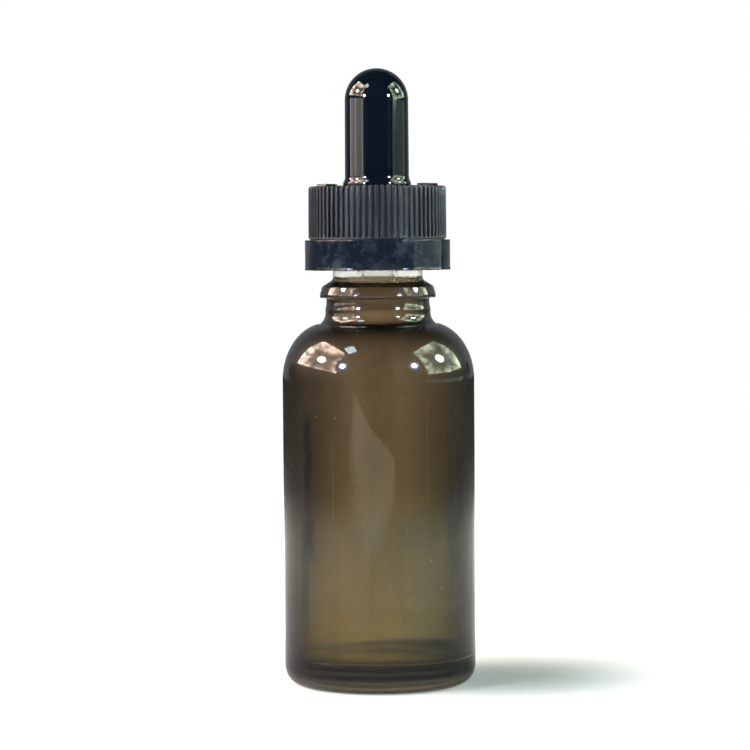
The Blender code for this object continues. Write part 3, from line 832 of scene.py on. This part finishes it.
def build_tamper_ring():
    """The smooth ring; its lower edge flares a little and keeps the small nicks left by trimming."""
    outline = rounded([
        (RING_WALL, RING_TOP, 0.12), (RING_WALL, RING_TOP - 0.2), (RING_WALL, RING_END + 0.6),
        (RING_WALL, RING_END + 0.5), (RING_WALL + 0.01, RING_END + 0.38),
        (RING_RADIUS + 0.03, RING_END + 0.05, 0.14), (RING_RADIUS - 0.85, RING_END + 0.05, 0.1),
        (RING_RADIUS - 1.1, RING_WEB_UNDERSIDE, 0.1), (RING_WEB_INNER, RING_WEB_UNDERSIDE, 0.15),
        (RING_WEB_INNER, RING_WEB_TOP, 0.15), (RING_BORE, RING_WEB_TOP, 0.2), (RING_BORE, RING_TOP, 0.12),
    ], 4, loop=True)
    shape = bmesh.new()
    sides = 400
    rings = lathe(shape, outline, sides)
    for ring, (radius, height) in zip(rings, outline):
        if height > RING_END + 0.18 or radius < RING_RADIUS - 1.05:
            continue
        for side, vert in enumerate(ring):
            angle = math.tau * side / sides
            place = Vector((math.cos(angle), math.sin(angle), 0.0))
            nick = noise.noise(place * 38.0) * 0.5 + noise.noise(place * 90.0) * 0.5
            vert.co.z += (smooth_step(0.1, 0.28, nick) * 0.3 - 0.04 * smooth_step(0.1, 0.4, -nick)) * MM
    band = finished("tamper_band", shape, [gloss_plastic()], 50)
    pawl = [(9.6, 71.75), (9.6, 72.35), (8.1, 72.9), (8.1, 72.6)]
    join(band, sector_blocks("pawls", 8, 26.0, pawl))
    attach(band, "tamper_ring")
    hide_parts("tamper_ring")


# ---------------------------------------------------------------- studio

LIGHT_CENTRE = Vector((0.0, 0.0, 0.055))
BOX_SCALE = 2.8
BOX_DISTANCE = 0.52 * BOX_SCALE
HOT_LAMP = (45.0, 45.0, 45.0)
FLOOR_RADIUS = 1.5
FLOOR_DROP = 0.05
# Middle of the soft shadow painted on the floor beside the bottle
PAINTED_SHADOW_CENTRE = Vector((22, 4, 0))


def direction(azimuth_deg, elevation_deg):
    """From the object: azimuth 0 is towards the camera (-Y), positive to its right (+X)."""
    azimuth, elevation = math.radians(azimuth_deg), math.radians(elevation_deg)
    return Vector((math.sin(azimuth) * math.cos(elevation), -math.cos(azimuth) * math.cos(elevation),
                   math.sin(elevation)))


def panel_grid(corners):
    """A flat, finely divided four-sided sheet whose UVs run from 0 to 1."""
    shape = bmesh.new()
    uv = shape.loops.layers.uv.new("across")
    low_left, low_right, high_right, high_left = [Vector(corner) for corner in corners]
    steps = 10
    grid = {}
    for i in range(steps + 1):
        for j in range(steps + 1):
            u, v = i / steps, j / steps
            low, high = low_left.lerp(low_right, u), high_left.lerp(high_right, u)
            grid[i, j] = shape.verts.new((*low.lerp(high, v), 0.0))
    for i in range(steps):
        for j in range(steps):
            ring = [(i, j), (i + 1, j), (i + 1, j + 1), (i, j + 1)]
            face = shape.faces.new([grid[key] for key in ring])
            for loop, key in zip(face.loops, ring):
                loop[uv].uv = (key[0] / steps, key[1] / steps)
    return shape


def place_panel(name, corners, azimuth_deg, elevation_deg, distance, look, roll_deg=0.0):
    """A flat glowing panel that faces the object and that the camera itself doesn't see."""
    made = linked(name, panel_grid(corners), [look])
    made.location = LIGHT_CENTRE + direction(azimuth_deg, elevation_deg) * distance
    facing = (LIGHT_CENTRE - made.location).to_track_quat("-Z", "Y").to_matrix()
    made.rotation_euler = (facing @ Matrix.Rotation(math.radians(roll_deg), 3, "Z")).to_euler()
    made.visible_camera = False
    made.visible_transmission = False
    return made


def oblong(width, height):
    x, y = width / 2, height / 2
    return [(-x, -y), (x, -y), (x, y), (-x, y)]


def glow_look(name, colour, strength=1.0):
    """A glowing material with its node helper and its emission node."""
    made = bpy.data.materials.new(name)
    made.use_nodes = True
    nodes = Nodes(made.node_tree)
    made.node_tree.nodes.clear()
    glowing = nodes.add("ShaderNodeEmission", {0: colour, 1: strength})
    nodes.add("ShaderNodeOutputMaterial", {"Surface": glowing.outputs[0]})
    return made, nodes, glowing


def panel_place(nodes, hub=(0.0, 0.0)):
    """Where on a panel: across and upward, from -1 to 1, counted from the hub."""
    parts = nodes.add("ShaderNodeSeparateXYZ", {0: nodes.add("ShaderNodeTexCoord").outputs["UV"]})
    across = nodes.math("SUBTRACT", nodes.math("MULTIPLY", parts.outputs["X"], 2.0), 1.0 + hub[0])
    upward = nodes.math("SUBTRACT", nodes.math("MULTIPLY", parts.outputs["Y"], 2.0), 1.0 + hub[1])
    return across, upward


def softbox_look(name, dim, bright, hub):
    """A folding light box: four silvery facets with dark ribs between them and a hot lamp at its hub."""
    made, nodes, glowing = glow_look(name, WHITE)
    across, upward = panel_place(nodes, hub)
    side, rise = nodes.math("ABSOLUTE", across), nodes.math("ABSOLUTE", upward)
    reach = nodes.math("MAXIMUM", side, rise)
    turn = nodes.math("ARCTAN2", upward, across)
    around = nodes.add("ShaderNodeCombineXYZ", {0: nodes.math("COSINE", turn), 1: nodes.math("SINE", turn),
                                                2: nodes.math("MULTIPLY", reach, 0.8)})
    creases = nodes.noise(around.outputs[0], 2.2, 5.0, 0.65)
    rim = nodes.remap(nodes.math("ADD", reach, nodes.math("MULTIPLY", creases, 0.55)), 0.72, 1.2)
    glow = nodes.mix(rim, rgb(*dim), rgb(*bright))
    glow = nodes.scaled(glow, nodes.remap(creases, 0.38, 0.58, 0.3, 1.25))
    from_rib = nodes.math("ABSOLUTE", nodes.math("SUBTRACT", side, rise))
    glow = nodes.scaled(glow, nodes.remap(from_rib, 0.0, 0.07, 0.35, 1.0))
    oval = nodes.length(nodes.math("DIVIDE", across, 0.21), nodes.math("DIVIDE", upward, 0.24))
    glow = nodes.scaled(glow, nodes.remap(oval, 1.0, 1.35, 0.35, 1.0))
    glow = nodes.mix(nodes.remap(oval, 1.05, 0.9), glow, rgb(*HOT_LAMP))
    nodes.plug(glowing, {0: glow})
    return made


def skirt_look(name, dim, bright, middle_line):
    """The dim side wall below a box: paler at both ends, with folds and a pale upright line in the middle."""
    made, nodes, glowing = glow_look(name, WHITE)
    across = panel_place(nodes)[0]
    ends = nodes.remap(nodes.math("ABSOLUTE", across), 0.72, 0.95)
    from_line = nodes.math("ABSOLUTE", nodes.math("ADD", across, 0.05))
    line = nodes.remap(from_line, 0.16, 0.03, 0.0, middle_line)
    folds = nodes.noise(nodes.add("ShaderNodeCombineXYZ", {0: across}).outputs[0], 5.0, 3.0)
    paler = nodes.math("MAXIMUM", ends, line)
    paler = nodes.math("ADD", paler, nodes.remap(folds, 0.5, 0.75, 0.0, 0.35), clamp=True)
    nodes.plug(glowing, {0: nodes.mix(paler, rgb(*dim), rgb(*bright))})
    return made


def lamp_look():
    """A bare lamp: a small hot core in a faint bluish glow."""
    made, nodes, glowing = glow_look("lamp_look", WHITE)
    reach = nodes.length(*panel_place(nodes))
    halo = nodes.mix(nodes.remap(reach, 1.0, 0.24), BLACK, rgb(4.0, 6.5, 13.0))
    core = nodes.mix(nodes.remap(reach, 0.46, 0.34), halo, rgb(190.0, 205.0, 220.0))
    nodes.plug(glowing, {0: core})
    return made


def build_boxes():
    """Two folding light boxes with their dim skirts: warm on the left, greenish on the right."""
    left_corners = [(-0.337, -0.107), (0.359, -0.112), (0.267, 0.222), (-0.175, 0.22)]
    right_corners = [(-0.275, -0.19), (0.319, -0.145), (0.152, 0.22), (-0.27, 0.246)]
    warm = softbox_look("left_box_look", (2.6, 1.9, 1.45), (15.5, 11.6, 9.2), (0.1, -0.28))
    cool = softbox_look("right_box_look", (0.75, 0.95, 0.62), (6.8, 8.2, 5.8), (0.0, -0.1))
    boxes = (("left_box", left_corners, -87.0, 26.5, warm), ("right_box", right_corners, 90.0, 24.5, cool))
    for name, corners, azimuth_deg, elevation_deg, look in boxes:
        corners = [Vector(corner) * BOX_SCALE for corner in corners]
        place_panel(name, corners, azimuth_deg, elevation_deg, BOX_DISTANCE, look)
    left_skirt = skirt_look("left_skirt_look", (2.1, 1.9, 1.7), (4.6, 4.1, 3.7), 1.0)
    place_panel("left_skirt", oblong(2.35, 0.19), -81.0, 5.0, 2.0, left_skirt)
    right_skirt = skirt_look("right_skirt_look", (0.5, 0.56, 0.46), (1.05, 1.22, 0.9), 0.3)
    place_panel("right_skirt", oblong(1.645, 0.185), 90.0, 1.53, 1.4, right_skirt)


def build_flags():
    """Small black flags beside the shoulder, seen only in reflections, where they hide what's behind."""
    black = glow_look("flag_look", BLACK, 0.0)[0]
    for azimuth_deg in (-105.0, -60.0, 67.0, 113.0):
        flag = place_panel(f"flag_{azimuth_deg:.0f}", oblong(0.09, 0.0125), azimuth_deg, 3.5, 0.1, black)
        flag.visible_diffuse = False
        flag.visible_shadow = False


def build_lamps():
    """A small window and two bare lamps on their stands, which glow faintly as a painted sheen."""
    window = glow_look("window_look", rgb(0.75, 0.92, 1.0), 14.0)[0]
    place_panel("window", oblong(0.115, 0.086), -47.0, 51.0, 0.5, window, -43.0)
    lamp = lamp_look()
    # Painted sheen: each stand glows faintly bluish so that it shows in reflections below its lamp
    stand = glow_look("stand_sheen_look", rgb(0.35, 0.55, 1.0), 0.9)[0]
    for azimuth_deg in (-45.0, 45.0):
        place_panel(f"lamp_{azimuth_deg:.0f}", oblong(0.08, 0.08), azimuth_deg, 22.3, 0.287, lamp)
        place_panel(f"stand_{azimuth_deg:.0f}", oblong(0.008, 0.07), azimuth_deg, 13.0, 0.29, stand)


def floor_look():
    """White to the camera and through glass, with a painted shadow beside the bottle; reflections see a white
    sheet near by, with painted shade close to the bottle, and a dim room beyond.
    """
    made, nodes, shader, place = new_look("floor_look")
    away = nodes.add("ShaderNodeVectorMath", {0: place}, operation="LENGTH").outputs["Value"]
    # Painted shadow: the floor's glow and colour darken and turn greenish round a point right of the bottle
    beside = nodes.add("ShaderNodeVectorMath", {0: place, 1: PAINTED_SHADOW_CENTRE * MM}, operation="DISTANCE")
    painted_shadow = nodes.remap(beside.outputs["Value"], 6 * MM, 34 * MM, 0.25, 1.0)
    path = nodes.add("ShaderNodeLightPath")
    mirrored = path.outputs["Is Glossy Ray"]
    unseen = nodes.math("MULTIPLY", mirrored, nodes.remap(away, 0.18, 0.55))
    seen = nodes.math("SUBTRACT", 1.0, unseen)
    glow = nodes.mixed(mirrored, nodes.remap(away, 0.1, 0.35, 0.45, 1.0), 0.24)
    glow = nodes.math("MULTIPLY", nodes.math("MULTIPLY", glow, seen), painted_shadow)
    paper = nodes.mix(mirrored, rgb(0.5, 0.5, 0.5), rgb(0.4, 0.4, 0.4))
    paper = nodes.mix(unseen, paper, rgb(0.01, 0.012, 0.015))
    paper = nodes.mix(nodes.remap(away, 0.25, 0.4), paper, rgb(0.02, 0.02, 0.02))
    paper = nodes.mix(painted_shadow, nodes.tinted(1.0, paper, rgb(0.45, 0.52, 0.47)), paper)
    # Painted shade: reflections off the glass, unlike light that passes through it, find the sheet darker
    # close to the bottle
    outside = nodes.math("SUBTRACT", 1.0, path.outputs["Is Transmission Ray"])
    off_surface = nodes.math("MULTIPLY", mirrored, outside)
    reflected_painted_shade = nodes.mixed(off_surface, 1.0, nodes.remap(away, 0.03, 0.22, 0.45, 1.0))
    nodes.plug(shader, {
        "Base Color": nodes.scaled(paper, reflected_painted_shade),
        "Emission Strength": nodes.math("MULTIPLY", glow, reflected_painted_shade),
        "Emission Color": WHITE,
        "Roughness": 0.9,
        "Specular IOR Level": 0.0,
    })
    return made


def build_floor():
    """A white sweep under the bottle."""
    shape = bmesh.new()
    bmesh.ops.create_circle(shape, cap_ends=True, radius=FLOOR_RADIUS, segments=96)
    floor = linked("floor", shape, [floor_look()])
    floor.location.z = -FLOOR_DROP * MM


def card_look():
    """Glows where the mesh says so, and lets everything else through."""
    made, nodes, glowing = glow_look("card_look", rgb(0.85, 0.86, 0.72))
    level = nodes.add("ShaderNodeAttribute", attribute_name="glow").outputs["Fac"]
    nodes.plug(glowing, {1: nodes.remap(level, 0.0, 1.0, 0.0, 1.2)})
    through = nodes.add("ShaderNodeBsdfTransparent")
    both = nodes.add("ShaderNodeAddShader", {0: glowing.outputs[0], 1: through.outputs[0]})
    end = next(node for node in made.node_tree.nodes if node.bl_idname == "ShaderNodeOutputMaterial")
    nodes.plug(end, {"Surface": both.outputs[0]})
    return made


def build_card():
    """A pale sheet on the dark floor in front, seen only as a leaf-shaped reflection on the bottle.

    Each corner is (x, y, softness): its glow fades out over that share of the way from the middle.
    """
    corners = ((-60, -153, 0.45), (74, -275, 0.3), (140, -375, 0.16), (150, -455, 0.08), (108, -545, 0.08),
               (-112, -715, 0.1), (-700, -1250, 0.1), (-450, -640, 0.3), (-345, -430, 0.42),
               (-200, -240, 0.55))
    middle = Vector((-40.0, -420.0, 0.0))
    shape = bmesh.new()
    glow = shape.verts.layers.float.new("glow")
    rings = []
    for inwards, level in ((0.0, 0.0), (1.0, 1.0)):
        ring = []
        for x, y, softness in corners:
            corner = Vector((x, y, 0.5))
            vert = shape.verts.new(corner.lerp(middle, softness * inwards) * MM)
            vert[glow] = level
            ring.append(vert)
        rings.append(ring)
    centre = shape.verts.new(middle * MM)
    centre[glow] = 1.0
    for i in range(len(corners)):
        j = (i + 1) % len(corners)
        shape.faces.new((rings[0][i], rings[0][j], rings[1][j], rings[1][i]))
        shape.faces.new((rings[1][i], rings[1][j], centre))
    card = linked("card", shape, [card_look()])
    card.visible_camera = False
    card.visible_transmission = False
    card.visible_diffuse = False
    card.visible_shadow = False


def build_world():
    """White all round to the camera and through the glass; in reflections a dim room with a paler back."""
    world = bpy.data.worlds.new("studio")
    world.use_nodes = True
    bpy.context.scene.world = world
    nodes = Nodes(world.node_tree)
    world.node_tree.nodes.clear()
    parts = nodes.add("ShaderNodeSeparateXYZ", {0: nodes.add("ShaderNodeTexCoord").outputs["Generated"]})
    back = nodes.remap(parts.outputs["Y"], 0.45, 0.85)
    room = nodes.mix(back, rgb(0.012, 0.018, 0.026), rgb(0.2, 0.22, 0.23))
    path = nodes.add("ShaderNodeLightPath")
    seen = nodes.math("MAXIMUM", path.outputs["Is Camera Ray"], path.outputs["Is Transmission Ray"])
    background = nodes.add("ShaderNodeBackground", {0: nodes.mix(seen, room, WHITE), 1: 1.0})
    nodes.add("ShaderNodeOutputWorld", {"Surface": background.outputs[0]})


def build_camera():
    """In front of the bottle, on -Y, looking along +Y and slightly down."""
    camera = bpy.data.cameras.new("camera")
    camera.lens = CAMERA_LENS
    camera.sensor_width = SENSOR_WIDTH
    camera.clip_start = 0.01
    camera.clip_end = 20.0
    made = bpy.data.objects.new("camera", camera)
    bpy.context.scene.collection.objects.link(made)
    turn = Matrix.Rotation(math.radians(CAMERA_YAW_DEG), 4, "Z")
    tilt = Matrix.Rotation(math.radians(90 - CAMERA_PITCH_DEG), 4, "X")
    roll = Matrix.Rotation(math.radians(-CAMERA_ROLL_DEG), 4, "Z")
    place = Matrix.Translation((0.0, -CAMERA_DISTANCE * MM, CAMERA_HEIGHT * MM))
    made.matrix_world = place @ turn @ tilt @ roll
    bpy.context.scene.camera = made


build_camera()
build_bottle()
build_pipette()
build_bulb()
build_inner_cap()
build_outer_cap()
build_tamper_ring()
build_world()
build_floor()
build_card()
build_boxes()
build_flags()
build_lamps()
bpy.context.scene.view_settings.view_transform = "Standard"
